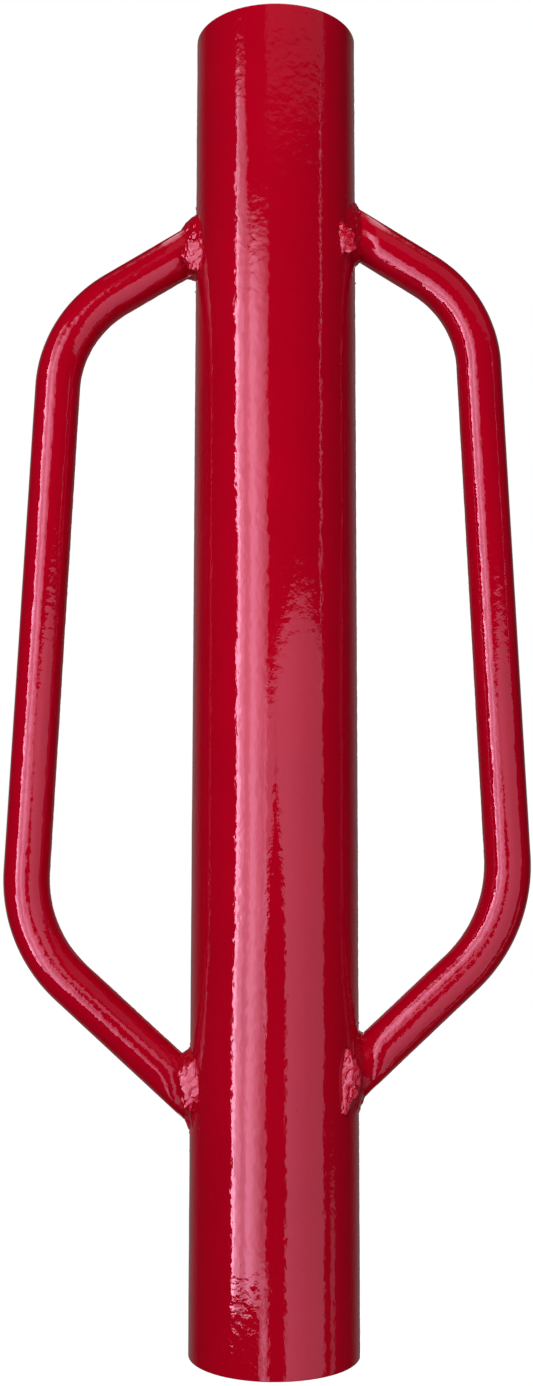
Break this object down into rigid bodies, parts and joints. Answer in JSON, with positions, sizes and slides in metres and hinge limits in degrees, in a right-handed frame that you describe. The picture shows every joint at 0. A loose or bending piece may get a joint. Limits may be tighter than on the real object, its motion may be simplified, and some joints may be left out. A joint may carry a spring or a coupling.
{
  "type": "post driver",
  "caption": "Manual post driver: a heavy open-bottomed steel tube with a solid plug in its top and a bent-pipe handle welded on each side, in gloss red enamel.",
  "frame": {"origin": "centre of the open mouth, on the axis of the bore that the post slides into", "axes": "+Z along the barrel from the open mouth to the plugged top, +X towards the right handle, +Y to the back"},
  "size_m": [0.2408, 0.076, 0.61],
  "materials": {
    "enamel": "gloss red enamel on a rolled tube, bare scaled steel deep in the bore",
    "enamel_pipe": "gloss red enamel on bent pipe",
    "enamel_weld": "gloss red enamel over a rippled weld bead",
    "enamel_plug": "gloss red enamel over a sawn and turned steel face"
  },
  "bodies": {
    "root": {"barrel": "enamel", "end_plug": "enamel_plug", "plug_weld": "enamel_weld", "handle_left": "enamel_pipe", "handle_right": "enamel_pipe", "weld_left_top": "enamel_weld", "weld_left_bottom": "enamel_weld", "weld_right_top": "enamel_weld", "weld_right_bottom": "enamel_weld"}
  },
  "joints": []
}
